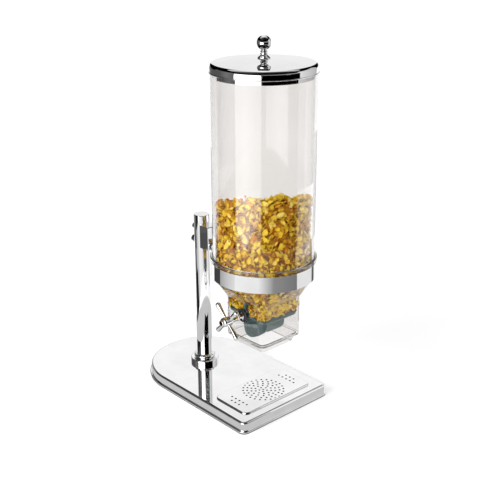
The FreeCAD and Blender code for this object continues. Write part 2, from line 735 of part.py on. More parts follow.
ball_z = dome_top + knob_rise
stem_r = knob_neck_r + running
ball_start = ball_z - math.sqrt(knob_ball_r ** 2 - stem_r ** 2)
collar_low_z = ball_start - knob_bead_h - 2 * knob_collar_h
collar_high_z = collar_low_z + knob_collar_h
knob_bead_low = collar_high_z + knob_collar_h / 2
knob_bead_high = knob_bead_low + knob_bead_h
knob = turned(
    (0, dome_top), (knob_foot_r, dome_top), (knob_foot_r, dome_top + knob_foot_h),
    (knob_neck_r, collar_low_z), (knob_collar_r, collar_low_z), (knob_collar_r, collar_high_z),
    (knob_neck_r, collar_high_z), (knob_neck_r, knob_bead_low),
    (knob_bead_r, (knob_bead_low + knob_bead_high) / 2, knob_neck_r, knob_bead_high),
    (stem_r, ball_start), (knob_ball_r, ball_z, 0, ball_z + knob_ball_r))
bite_top = dome_top + knob_screw_bite
pieces["lid_knob"] = knob.cut(cylinder(knob_screw_r + running, dome_top, bite_top + hidden_gap))
knob_washer_top = dome_top - lid_sheet - rest_gap
knob_washer_low = knob_washer_top - knob_washer_t
pieces["knob_washer"] = tube(knob_washer_r, knob_screw_r + slip, knob_washer_low, knob_washer_top)
pieces["knob_screw"] = screw(knob_screw_r, knob_washer_low, bite_top,
                             knob_screw_head_r, knob_washer_low - knob_screw_head_h, knob_washer_low)

# ---- contents -----------------------------------------------------------------------------
fill_r = tube_inner_r - fill_gap
fill_level = socket_floor + fill_depth
fill = square_to_round(box_inner_half - fill_gap, box_inner_r - fill_gap, box_top, fill_r, throat_low)
fill = fill.fuse(cylinder(fill_r, throat_low, tube_top))
# the clear space round the rotor is eight-sided
room_r = (rotor_r + fill_rotor_gap) / math.cos(math.pi / 8)
room_corners = [polar(V(0, 0, 0), room_r, 22.5 + 45 * side) for side in range(9)]
fill = fill.cut(along_x(prism(Part.Wire(Part.makePolygon(room_corners)), -box_half, box_half)))
above = Part.makeBox(4 * tube_r, 4 * tube_r, tube_length, V(-2 * tube_r, -2 * tube_r, 0))
above.rotate(V(0, 0, 0), V(1, 0, 0), math.degrees(math.atan(fill_slope_y)))
above.rotate(V(0, 0, 0), V(0, 1, 0), -math.degrees(math.atan(fill_slope_x)))
above.translate(V(0, 0, fill_level))
pieces["cereal_fill"] = fill.cut(above)

# ---- export -------------------------------------------------------------------------------
os.makedirs("parts", exist_ok=True)
for name, shape in pieces.items():
    shape.exportStep("parts/" + name + ".step")
    print(name, "solids", len(shape.Solids), "volume", round(shape.Volume), "valid", shape.isValid())
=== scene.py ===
import json
import math
import random

import bmesh
import bpy
from mathutils import Matrix, Vector, noise

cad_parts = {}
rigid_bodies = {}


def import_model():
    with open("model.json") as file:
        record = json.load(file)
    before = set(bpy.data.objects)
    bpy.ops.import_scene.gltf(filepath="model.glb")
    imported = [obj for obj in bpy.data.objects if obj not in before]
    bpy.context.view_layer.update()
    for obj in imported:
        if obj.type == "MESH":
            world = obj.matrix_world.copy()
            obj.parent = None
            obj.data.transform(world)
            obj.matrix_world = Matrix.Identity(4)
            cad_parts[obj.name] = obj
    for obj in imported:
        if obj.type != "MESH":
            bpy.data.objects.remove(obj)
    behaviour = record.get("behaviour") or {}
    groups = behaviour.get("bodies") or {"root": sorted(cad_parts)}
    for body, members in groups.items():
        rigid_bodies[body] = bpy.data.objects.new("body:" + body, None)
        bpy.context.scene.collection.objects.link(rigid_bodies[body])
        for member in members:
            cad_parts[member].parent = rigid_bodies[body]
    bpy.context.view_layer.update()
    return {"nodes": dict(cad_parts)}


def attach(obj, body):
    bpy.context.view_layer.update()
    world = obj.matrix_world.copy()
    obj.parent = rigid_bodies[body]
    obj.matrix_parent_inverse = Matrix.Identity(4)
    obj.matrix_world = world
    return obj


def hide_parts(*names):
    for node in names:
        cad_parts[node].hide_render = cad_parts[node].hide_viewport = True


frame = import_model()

nodes = frame["nodes"]
mm = 0.001


viewpoint = {
    "azimuth": -42.384,              # degrees round the bin, 0 is straight in front
    "pitch": 21.042,                 # degrees looked down
    "roll": -0.216,
    "distance": 1601.15,             # mm from the point it aims at
    "aim": (-32.32, 0.07, 313.24),   # mm
    "lens": 66.25,                   # mm
    "sensor": 36.0,                  # mm
}


def placeCamera(values):
    azimuth, pitch, roll = (math.radians(values[key]) for key in ("azimuth", "pitch", "roll"))
    level = math.cos(pitch)
    back = Vector((math.sin(azimuth) * level, -math.cos(azimuth) * level, math.sin(pitch)))
    sideways = Vector((math.cos(azimuth), math.sin(azimuth), 0))
    upright = back.cross(sideways)
    right = sideways * math.cos(roll) + upright * math.sin(roll)
    up = back.cross(right)
    data = bpy.data.cameras.new("camera")
    data.lens = values["lens"]
    data.sensor_width = values["sensor"]
    camera = bpy.data.objects.new("camera", data)
    bpy.context.scene.collection.objects.link(camera)
    turned = Matrix((right, up, back)).transposed().to_4x4()
    stand = (Vector(values["aim"]) + back * values["distance"]) * mm
    camera.matrix_world = Matrix.Translation(stand) @ turned
    bpy.context.scene.camera = camera


placeCamera(viewpoint)
bpy.context.scene.view_settings.view_transform = "Standard"
print("camera placed")


def addNode(tree, kind, inputs=None, **settings):
    # a node with its settings, its plain values and its links in one call
    node = tree.nodes.new(kind)
    for name, value in settings.items():
        setattr(node, name, value)
    for key, value in (inputs or {}).items():
        if isinstance(value, bpy.types.NodeSocket):
            tree.links.new(value, node.inputs[key])
        else:
            node.inputs[key].default_value = value
    return node


def fromCamera(bearing):
    # the level direction that lies so many degrees to the camera's right, seen from the bin
    angle = math.radians(viewpoint["azimuth"] + bearing)
    return Vector((math.sin(angle), -math.cos(angle), 0))


def shownWhite(tree):
    # 1 for the rays that see the background: straight, mirrored or through something clear
    path = addNode(tree, "ShaderNodeLightPath")
    straight = addNode(tree, "ShaderNodeMath", {
        0: path.outputs["Is Camera Ray"], 1: path.outputs["Is Glossy Ray"]}, operation="MAXIMUM")
    return addNode(tree, "ShaderNodeMath", {
        0: straight.outputs[0], 1: path.outputs["Is Transmission Ray"]}, operation="MAXIMUM").outputs[0]


studio = {
    "worldLight": 0.55,          # light from all round on dull surfaces
    "floorSize": 40.0,           # m
    "floorTone": 0.80,
    "floorLift": (0.27, 0.62),   # what brings the lit floor to white for the camera, near and far away
    "floorReach": (0.4, 2.0),    # m, where near and far are
    "lampAim": 0.32,             # m above the floor
    "lamps": [                   # name, bearing, distance and height in m, size in m, watts
        ("keyLamp", -55, 1.5, 1.0, 1.1, 28.0),
        ("fillLamp", 30, 1.6, 0.8, 1.2, 10.0),
        ("topLamp", 150, 0.25, 2.1, 1.4, 7.0),
    ],
    "cardDistance": 0.95,        # m from the bin's axis
    # what shiny faces mirror besides white: name, bearings, lower edge as (share along it, height in m)
    # points, upper edge in m, tone as (share along it, tone) points
    "cards": [
        ("lowSoftbox", (-62, -6), ((0, 0.07), (0.35, 0.0), (1, 0.10)), 0.15,
         ((0.06, 4.0), (0.4, 4.8), (0.9, 3.2))),
        ("softbox", (-62, -6), ((0, 0.15),), 0.81, ((0.06, 2.2), (0.4, 2.7), (0.9, 1.6))),
        ("overSoftbox", (-62, -6), ((0, 0.81),), 1.7, ((0, 0.02), (1, 0.005))),
        ("blackFront", (-6, 75), ((0, 0.0),), 0.75, ((0, 0.0),)),
        ("greyFront", (-6, 75), ((0, 0.75),), 1.0, ((0, 0.22), (1, 0.30))),
        ("overFront", (-6, 75), ((0, 1.0),), 1.7, ((0, 0.0),)),
        ("brightRight", (75, 134), ((0, 0.0),), 0.16, ((0, 1.4),)),
        ("whiteRight", (75, 134), ((0, 0.16),), 1.2, ((0, 0.80), (1, 0.48))),
        ("overRight", (75, 150), ((0, 1.2),), 1.7, ((0, 0.0),)),
        ("lowLeft", (-118, -92), ((0, 0.0),), 0.10, ((0, 0.10),)),
        ("blackLeft", (-92, -62), ((0, 0.0),), 0.10, ((0, 0.0),)),
        ("stripLeft", (-118, -62), ((0, 0.10),), 0.25, ((0, 0.13),)),
        ("bandLeft", (-118, -62), ((0, 0.25),), 0.42, ((0, 0.0),)),
        ("greyLeft", (-118, -62), ((0, 0.42),), 1.0, ((0, 0.085), (0.32, 0.09), (0.68, 0.19), (1, 0.13))),
        ("overLeft", (-118, -62), ((0, 1.0),), 1.7, ((0, 0.0),)),
    ],
    "farCards": [                # the same behind the bin, hidden from what is seen through the clear parts
        ("lowBackLeft", (-178, -118), ((0, 0.0),), 0.25, ((0, 0.55), (1, 0.30))),
        ("midBackLeft", (-150, -118), ((0, 0.25),), 0.72, ((0, 0.26), (0.5, 0.10), (1, 0.085))),
        ("overBackLeft", (-163, -118), ((0, 0.72),), 1.7, ((0, 0.0),)),
        ("lowBackRight", (134, 172), ((0, 0.0),), 0.30, ((0, 0.35), (1, 0.7))),
        ("overBackRight", (134, 163), ((0, 0.70),), 1.7, ((0, 0.0),)),
        ("highBack", (163, 197), ((0, 0.60),), 1.7, ((0, 0.91),)),
    ],
    # the same lying level: name, bearings, nearest and farthest in m, height in m, tones
    "levelCards": [
        ("ceilingLeft", (-180, -6), (0.0, 0.95), 1.7, ((0, 1.0), (0.3, 0.7), (0.6, 0.08), (1, 0.01))),
        ("ceilingRight", (-6, 180), (0.0, 0.95), 1.7, ((0, 0.01), (0.45, 0.01), (0.7, 0.6), (1, 1.0))),
        ("floorDarkLeft", (-131, -104), (0.40, 0.95), 0.001, ((0, 0.05), (1, 0.06))),
        ("floorNearLeft", (-110, -86), (0.40, 0.66), 0.002, ((0, 0.01),)),
        ("floorLeft", (-104, -62), (0.40, 0.95), 0.001, ((0, 0.40), (1, 0.80))),
        ("floorFarLeft", (-112, -94), (0.82, 0.95), 0.002, ((0, 0.08),)),
        ("floorFront", (-62, -10), (0.40, 0.95), 0.001, ((0, 0.95), (1, 0.88))),
        ("floorFall", (-10, 20), (0.40, 0.95), 0.001, ((0, 0.85), (1, 0.27))),
        ("floorGrey", (20, 72), (0.40, 0.95), 0.001, ((0, 0.27), (1, 0.20))),
        ("floorRight", (72, 122), (0.40, 0.85), 0.001, ((0, 0.84),)),
        ("floorBright", (72, 122), (0.85, 0.95), 0.001, ((0, 1.9),)),
        ("floorDarkRight", (122, 134), (0.40, 0.95), 0.001, ((0, 0.12),)),
    ],
    "baseShade": {"centre": (0.0, 0.107, 0.0005), "radius": 0.33, "tone": 0.60},
    "cardSteps": 24,
}


def makeWorld(values):
    world = bpy.data.worlds.new("studioWorld")
    bpy.context.scene.world = world
    world.use_nodes = True
    tree = world.node_tree
    tree.nodes.clear()
    dull = addNode(tree, "ShaderNodeBackground", {"Color": (1, 1, 1, 1), "Strength": values["worldLight"]})
    white = addNode(tree, "ShaderNodeBackground", {"Color": (1, 1, 1, 1), "Strength": 1.0})
    mixed = addNode(tree, "ShaderNodeMixShader",
                    {0: shownWhite(tree), 1: dull.outputs[0], 2: white.outputs[0]})
    addNode(tree, "ShaderNodeOutputWorld", {"Surface": mixed.outputs[0]})


def stageThing(name, verts, faces):
    # a piece of the studio with an empty material, whose tree is returned
    mesh = bpy.data.meshes.new(name)
    mesh.from_pydata(verts, [], faces)
    thing = bpy.data.objects.new(name, mesh)
    bpy.context.scene.collection.objects.link(thing)
    material = bpy.data.materials.new(name)
    material.use_nodes = True
    material.node_tree.nodes.clear()
    mesh.materials.append(material)
    return thing, material.node_tree


def makeFloor(values):
    half = values["floorSize"] / 2
    corners = [(-half, -half, 0), (half, -half, 0), (half, half, 0), (-half, half, 0)]
    _, tree = stageThing("floor", corners, [(0, 1, 2, 3)])
    tone = values["floorTone"]
    paper = addNode(tree, "ShaderNodeBsdfDiffuse", {"Color": (tone, tone, tone, 1)})
    place = addNode(tree, "ShaderNodeTexCoord").outputs["Object"]
    away = addNode(tree, "ShaderNodeVectorMath", {0: place}, operation="LENGTH").outputs["Value"]
    near, far = values["floorReach"]
    rising = addNode(tree, "ShaderNodeMapRange", {
        "Value": away, "From Min": near, "From Max": far,
        "To Min": values["floorLift"][0], "To Max": values["floorLift"][1]}).outputs[0]
    lift = addNode(tree, "ShaderNodeMath", {0: shownWhite(tree), 1: rising}, operation="MULTIPLY")
    glow = addNode(tree, "ShaderNodeEmission", {"Color": (1, 1, 1, 1), "Strength": lift.outputs[0]})
    both = addNode(tree, "ShaderNodeAddShader", {0: paper.outputs[0], 1: glow.outputs[0]})
    addNode(tree, "ShaderNodeOutputMaterial", {"Surface": both.outputs[0]})


def makeLamp(name, bearing, distance, height, size, power):
    data = bpy.data.lights.new(name, "AREA")
    data.shape = "SQUARE"
    data.size = size
    data.energy = power
    lamp = bpy.data.objects.new(name, data)
    lamp.location = fromCamera(bearing) * distance + Vector((0, 0, height))
    target = Vector((0, 0, studio["lampAim"]))
    lamp.rotation_euler = (target - lamp.location).to_track_quat("-Z", "Y").to_euler()
    lamp.visible_glossy = False
    bpy.context.scene.collection.objects.link(lamp)


def makeCard(name, rows, tones, throughGlass=True):
    # a strip that only mirrors see: rows of (near or low point, far or high point), a tone for each row
    verts = [point for row in rows for point in row]
    faces = [(2 * step, 2 * step + 1, 2 * step + 3, 2 * step + 2) for step in range(len(rows) - 1)]
    card, tree = stageThing(name, verts, faces)
    shade = card.data.attributes.new("shade", "FLOAT", "POINT")
    shade.data.foreach_set("value", [tone for tone in tones for _ in range(2)])
    tone = addNode(tree, "ShaderNodeAttribute", attribute_name="shade")
    # seen straight through something clear, with no mirror between, it is white like the background
    path = addNode(tree, "ShaderNodeLightPath")
    unmirrored = addNode(tree, "ShaderNodeMath", {0: path.outputs["Glossy Depth"], 1: 0.5},
                         operation="LESS_THAN")
    through = addNode(tree, "ShaderNodeMath", {
        0: path.outputs["Is Transmission Ray"], 1: unmirrored.outputs[0]}, operation="MULTIPLY")
    shown = addNode(tree, "ShaderNodeMix",
                    {"Factor": through.outputs[0], "A": tone.outputs["Fac"], "B": 1.0})
    glow = addNode(tree, "ShaderNodeEmission", {"Strength": shown.outputs["Result"]})
    addNode(tree, "ShaderNodeOutputMaterial", {"Surface": glow.outputs[0]})
    card.visible_camera = card.visible_diffuse = card.visible_shadow = card.visible_volume_scatter = False
    card.visible_transmission = throughGlass


def bearingsOf(span):
    # (share along it, direction) for each step of a card
    steps, (first, last) = studio["cardSteps"], span
    return [(step / steps, fromCamera(first + (last - first) * step / steps)) for step in range(steps + 1)]


def valueAt(points, share):
    # the value at a share of the way, from (share, value) points
    if share <= points[0][0]:
        return points[0][1]
    for (first, low), (last, high) in zip(points, points[1:]):
        if share <= last:
            return low + (high - low) * (share - first) / (last - first)
    return points[-1][1]


def makeUpright(name, span, lowerEdge, top, tones, throughGlass):
    rows = [[out * studio["cardDistance"] + Vector((0, 0, z)) for z in (valueAt(lowerEdge, share), top)]
            for share, out in bearingsOf(span)]
    makeCard(name, rows, [valueAt(tones, share) for share, out in bearingsOf(span)], throughGlass)


def makeLevel(name, span, reach, height, tones):
    rows = [[out * distance + Vector((0, 0, height)) for distance in reach]
            for _, out in bearingsOf(span)]
    makeCard(name, rows, [valueAt(tones, share) for share, out in bearingsOf(span)])


def makeBaseShade(values):
    # the shaded paper close round the base
    centre = Vector(values["centre"])
    rows = [[centre, centre + out * values["radius"]] for _, out in bearingsOf((-180, 180))]
    makeCard("baseShade", rows, [values["tone"]] * len(rows))


makeWorld(studio)
makeFloor(studio)
for lampRow in studio["lamps"]:
    makeLamp(*lampRow)
for cardRow in studio["cards"]:
    makeUpright(*cardRow, throughGlass=True)
for cardRow in studio["farCards"]:
    makeUpright(*cardRow, throughGlass=False)
for cardRow in studio["levelCards"]:
    makeLevel(*cardRow)
makeBaseShade(studio["baseShade"])
print("studio ready")


def newFinish(name, plain):
    # a material whose Principled shader holds the plain values
    material = bpy.data.materials.new(name)
    material.use_nodes = True
    shader = material.node_tree.nodes["Principled BSDF"]
    for socket, value in plain.items():
        shader.inputs[socket].default_value = value
    return material, material.node_tree, shader


def grain(tree, scale, detail=3.0, stretch=(1, 1, 1), turn=(0, 0, 0)):
    # noise over the piece's own place, scale in features per metre
    place = addNode(tree, "ShaderNodeTexCoord")
    laid = addNode(tree, "ShaderNodeMapping",
                   {"Vector": place.outputs["Object"], "Rotation": turn, "Scale": stretch})
    return addNode(tree, "ShaderNodeTexNoise",
                   {"Vector": laid.outputs[0], "Scale": scale, "Detail": detail}).outputs["Fac"]


def spread(tree, value, low, high, toLow, toHigh):
    return addNode(tree, "ShaderNodeMapRange", {
        "Value": value, "From Min": low, "From Max": high, "To Min": toLow, "To Max": toHigh}).outputs[0]


def colours(tree, value, stops):
    ramp = addNode(tree, "ShaderNodeValToRGB", {"Fac": value})
    elements = ramp.color_ramp.elements
    while len(elements) < len(stops):
        elements.new(0.5)
    for element, (place, colour) in zip(elements, stops):
        element.position = place
        element.color = (*colour, 1)
    return ramp.outputs["Color"]


def relief(tree, shader, height, depth):
    bump = addNode(tree, "ShaderNodeBump", {"Height": height, "Distance": depth})
    tree.links.new(bump.outputs[0], shader.inputs["Normal"])


def mirrorSteel():
    material, tree, shader = newFinish("mirrorSteel", {"Metallic": 1.0})
    polish = grain(tree, 26.0, 5.0)
    tree.links.new(colours(tree, polish, [(0.3, (0.86, 0.86, 0.87)), (0.7, (0.93, 0.93, 0.93))]),
                   shader.inputs["Base Color"])
    tree.links.new(spread(tree, polish, 0.35, 0.7, 0.025, 0.06), shader.inputs["Roughness"])
    return material


def plainSteel():
    material, tree, shader = newFinish("plainSteel", {"Metallic": 1.0})
    rolled = grain(tree, 900.0, 2.0, (0.03, 1, 1))
    tree.links.new(colours(tree, rolled, [(0.3, (0.52, 0.52, 0.53)), (0.7, (0.68, 0.68, 0.69))]),
                   shader.inputs["Base Color"])
    tree.links.new(spread(tree, rolled, 0.3, 0.7, 0.22, 0.38), shader.inputs["Roughness"])
    relief(tree, shader, rolled, 0.02 * mm)
    return material


def zincPlate():
    material, tree, shader = newFinish("zincPlate", {"Metallic": 1.0})
    bloom = grain(tree, 420.0, 4.0)
    tree.links.new(colours(tree, bloom, [(0.3, (0.50, 0.51, 0.55)), (0.7, (0.66, 0.68, 0.72))]),
                   shader.inputs["Base Color"])
    tree.links.new(spread(tree, bloom, 0.3, 0.7, 0.20, 0.34), shader.inputs["Roughness"])
    return material


def clearAcrylic():
    # clear to the eye and to mirrors; dull rays and lamps pass straight on, so that the food inside is lit
    material, tree, shader = newFinish("clearAcrylic", {
        "Base Color": (0.89, 0.877, 0.865, 1), "Transmission Weight": 1.0, "IOR": 1.49, "Roughness": 0.0})
    tree.links.new(spread(tree, grain(tree, 14.0, 4.0), 0.55, 0.8, 0.0, 0.02), shader.inputs["Roughness"])
    path = addNode(tree, "ShaderNodeLightPath")
    straight = addNode(tree, "ShaderNodeBsdfTransparent", {"Color": (0.965, 0.965, 0.96, 1)})
    dull = addNode(tree, "ShaderNodeMixShader",
                   {0: path.outputs["Is Diffuse Ray"], 1: shader.outputs[0], 2: straight.outputs[0]})
    lamps = addNode(tree, "ShaderNodeMixShader",
                    {0: path.outputs["Is Shadow Ray"], 1: dull.outputs[0], 2: straight.outputs[0]})
    tree.links.new(lamps.outputs[0], tree.nodes["Material Output"].inputs["Surface"])
    return material


def blackPlastic():
    material, tree, shader = newFinish("blackPlastic", {"Specular IOR Level": 0.5})
    skin = grain(tree, 700.0, 3.0)
    tree.links.new(colours(tree, skin, [(0.3, (0.012, 0.012, 0.013)), (0.7, (0.03, 0.03, 0.032))]),
                   shader.inputs["Base Color"])
    tree.links.new(spread(tree, skin, 0.3, 0.7, 0.16, 0.28), shader.inputs["Roughness"])
    relief(tree, shader, skin, 0.02 * mm)
    return material


def blackRubber():
    material, tree, shader = newFinish("blackRubber", {})
    skin = grain(tree, 1500.0, 4.0)
    tree.links.new(colours(tree, skin, [(0.3, (0.010, 0.010, 0.010)), (0.7, (0.035, 0.035, 0.034))]),
                   shader.inputs["Base Color"])
    tree.links.new(spread(tree, skin, 0.3, 0.7, 0.62, 0.85), shader.inputs["Roughness"])
    relief(tree, shader, skin, 0.08 * mm)
    return material


def vaneRubber():
    material, tree, shader = newFinish("vaneRubber", {"Specular IOR Level": 0.4})
    cloud = grain(tree, 45.0, 4.0)
    tree.links.new(colours(tree, cloud, [(0.3, (0.050, 0.100, 0.102)), (0.55, (0.072, 0.132, 0.130)),
                                         (0.75, (0.110, 0.180, 0.170))]), shader.inputs["Base Color"])
    dust = grain(tree, 1400.0, 3.0)
    tree.links.new(spread(tree, dust, 0.3, 0.7, 0.38, 0.58), shader.inputs["Roughness"])
    relief(tree, shader, dust, 0.05 * mm)
    return material


def coreBoard():
    material, tree, shader = newFinish("coreBoard", {})
    fibres = grain(tree, 500.0, 6.0, (0.35, 1, 1), (0, 0, 0.4))
    tree.links.new(colours(tree, fibres, [(0.25, (0.20, 0.115, 0.055)), (0.5, (0.31, 0.20, 0.11)),
                                          (0.75, (0.42, 0.30, 0.18))]), shader.inputs["Base Color"])
    tree.links.new(spread(tree, fibres, 0.3, 0.7, 0.7, 0.9), shader.inputs["Roughness"])
    relief(tree, shader, fibres, 0.15 * mm)
    return material


def toastedFlake():
    # tone differs from flake to flake, rim runs from 0 in a flake's middle to 1 at its edge
    material, tree, shader = newFinish("toastedFlake", {"Specular IOR Level": 0.18, "Roughness": 0.5})
    tone = addNode(tree, "ShaderNodeAttribute", attribute_name="tone").outputs["Fac"]
    rim = addNode(tree, "ShaderNodeAttribute", attribute_name="rim").outputs["Fac"]
    blotch = grain(tree, 210.0, 3.0)
    shifted = addNode(tree, "ShaderNodeMath", {0: tone, 1: spread(tree, blotch, 0.3, 0.7, -0.14, 0.14)},
                      operation="ADD").outputs[0]
    body = colours(tree, shifted, [(0.0, (0.84, 0.69, 0.17)), (0.22, (0.80, 0.59, 0.05)),
                                   (0.68, (0.75, 0.49, 0.02)), (0.88, (0.58, 0.26, 0.012)),
                                   (1.0, (0.34, 0.09, 0.01))])
    singed = addNode(tree, "ShaderNodeMath", {0: rim, 1: spread(tree, blotch, 0.35, 0.75, 0.0, 1.0)},
                     operation="MULTIPLY").outputs[0]
    edge = addNode(tree, "ShaderNodeMix", {"Factor": singed, "A": body, "B": (0.42, 0.16, 0.012, 1)},
                   data_type="RGBA")
    tree.links.new(edge.outputs["Result"], shader.inputs["Base Color"])
    blisters = grain(tree, 620.0, 2.0)
    relief(tree, shader, blisters, 0.5 * mm)
    tree.links.new(spread(tree, blisters, 0.3, 0.7, 0.42, 0.66), shader.inputs["Roughness"])
    return material


def cerealDepth():
    # the food behind the first layers, coloured dark brown as painted shade for the gaps between the flakes
    material, tree, shader = newFinish("cerealDepth", {"Roughness": 0.85, "Specular IOR Level": 0.1})
    crumbs = grain(tree, 130.0, 5.0)
    tree.links.new(colours(tree, crumbs, [(0.3, (0.17, 0.055, 0.004)), (0.55, (0.37, 0.16, 0.010)),
                                          (0.75, (0.56, 0.32, 0.02))]), shader.inputs["Base Color"])
    relief(tree, shader, crumbs, 1.5 * mm)
    return material


finishes = {
    "mirrorSteel": mirrorSteel(), "plainSteel": plainSteel(), "zincPlate": zincPlate(),
    "clearAcrylic": clearAcrylic(), "blackPlastic": blackPlastic(), "blackRubber": blackRubber(),
    "vaneRubber": vaneRubber(), "coreBoard": coreBoard(), "toastedFlake": toastedFlake(),
    "cerealDepth": cerealDepth(),
}

finishOfNode = {
    "mirrorSteel": ["base_shell", "drip_grille", "column_tube", "column_foot", "column_collar",
                    "column_cap", "holder_ring", "bracket_arm", "saddle_block", "handle_hub",
                    "handle_spokes", "stem_sleeve", "hub_cap", "lid_cap", "lid_plug", "lid_knob"],
    "plainSteel": ["drip_basin", "rotor_shaft", "shell_bosses", "column_washer", "saddle_washers",
                   "knob_washer", "shaft_clip", "column_plug"],
    "zincPlate": ["core_screws", "column_bolt", "bracket_screws", "hub_grub_screw", "knob_screw"],
    "clearAcrylic": ["hopper_tube", "funnel_body", "outlet_chute"],
    "blackPlastic": ["bush_left", "bush_right", "shaft_end_cap"],
    "blackRubber": ["base_pad", "lid_seal", "tube_seal"],
    "vaneRubber": ["paddle_wheel"],
    "coreBoard": ["base_core"],
    "cerealDepth": ["cereal_fill"],
}

for finish, members in finishOfNode.items():
    for member in members:
        slots = nodes[member].data.materials
        slots.clear()
        slots.append(finishes[finish])
print("finishes on the built parts")


def startTree(name, inputs):
    # a geometry tree with named inputs: {label: (kind of socket, value)}
    tree = bpy.data.node_groups.new(name, "GeometryNodeTree")
    tree.interface.new_socket("Geometry", in_out="INPUT", socket_type="NodeSocketGeometry")
    for label, (kind, value) in inputs.items():
        socket = tree.interface.new_socket(label, in_out="INPUT", socket_type="NodeSocket" + kind)
        if value is not None:
            socket.default_value = value
    tree.interface.new_socket("Geometry", in_out="OUTPUT", socket_type="NodeSocketGeometry")
    return tree, tree.nodes.new("NodeGroupInput").outputs, tree.nodes.new("NodeGroupOutput")


def settleMesh(piece):
    # what the piece's modifiers make of it becomes its plain mesh
    settled = piece.evaluated_get(bpy.context.evaluated_depsgraph_get())
    piece.data = bpy.data.meshes.new_from_object(settled)
    piece.data.name = piece.name
    piece.modifiers.clear()


def growMesh(piece, tree, values):
    # the tree's result becomes the piece's plain mesh
    modifier = piece.modifiers.new(tree.name, "NODES")
    modifier.node_group = tree
    for item in tree.interface.items_tree:
        if item.in_out == "INPUT" and item.name in values:
            modifier[item.identifier] = values[item.name]
    settleMesh(piece)


def newPiece(name, mesh):
    piece = bpy.data.objects.new(name, mesh)
    bpy.context.scene.collection.objects.link(piece)
    return piece


def calc(tree, operation, *values, clamp=False):
    return addNode(tree, "ShaderNodeMath", dict(enumerate(values)),
                   operation=operation, use_clamp=clamp).outputs[0]


def squared(tree, value):
    return calc(tree, "POWER", value, 2.0)


def span2d(tree, first, second):
    # the length of a level offset from its two parts
    return calc(tree, "SQRT", calc(tree, "ADD", squared(tree, first), squared(tree, second)))


def between(tree, value, limit):
    return calc(tree, "MAXIMUM", calc(tree, "MINIMUM", value, limit), -limit)


def vector(tree, operation, *values):
    node = addNode(tree, "ShaderNodeVectorMath", dict(enumerate(values)), operation=operation)
    return node.outputs["Value"] if operation in ("LENGTH", "DOT_PRODUCT") else node.outputs["Vector"]


def split(tree, value):
    return addNode(tree, "ShaderNodeSeparateXYZ", {0: value}).outputs


def joinXYZ(tree, x, y, z):
    return addNode(tree, "ShaderNodeCombineXYZ", {0: x, 1: y, 2: z}).outputs[0]


def scaled(tree, value, factor):
    return addNode(tree, "ShaderNodeVectorMath", {0: value, "Scale": factor}, operation="SCALE").outputs[0]


def pick(tree, kind, choice, whenFalse, whenTrue):
    return addNode(tree, "GeometryNodeSwitch", {"Switch": choice, "False": whenFalse, "True": whenTrue},
                   input_type=kind).outputs[0]


paddleWheel = {
    "axisHeight": 194.0 * mm,
    "rootRadius": 7.5 * mm,
    "tipRadius": 46.2 * mm,
    "halfWidth": 45.6 * mm,
    "corner": 15.0 * mm,
    "rootThickness": 5.4 * mm,
    "tipThickness": 3.4 * mm,
    "grid": (49, 3, 25),        # points across a vane, through it and out to its tip
    "flex": {"Top": 0.0, "Front": 9.0, "Bottom": -14.0, "Back": 0.0},   # degrees at the tip
    "flexCurve": 1.5,           # how late along the vane the bend comes
    "hubRadius": 9.0 * mm,
    "boreRadius": 4.0 * mm,
    "hubCollar": 1.0 * mm,
    "hubSteps": 48,
    "edgeRound": 0.7 * mm,
    "edgeSteps": 2,
    "smoothBelow": 40,          # degrees
}


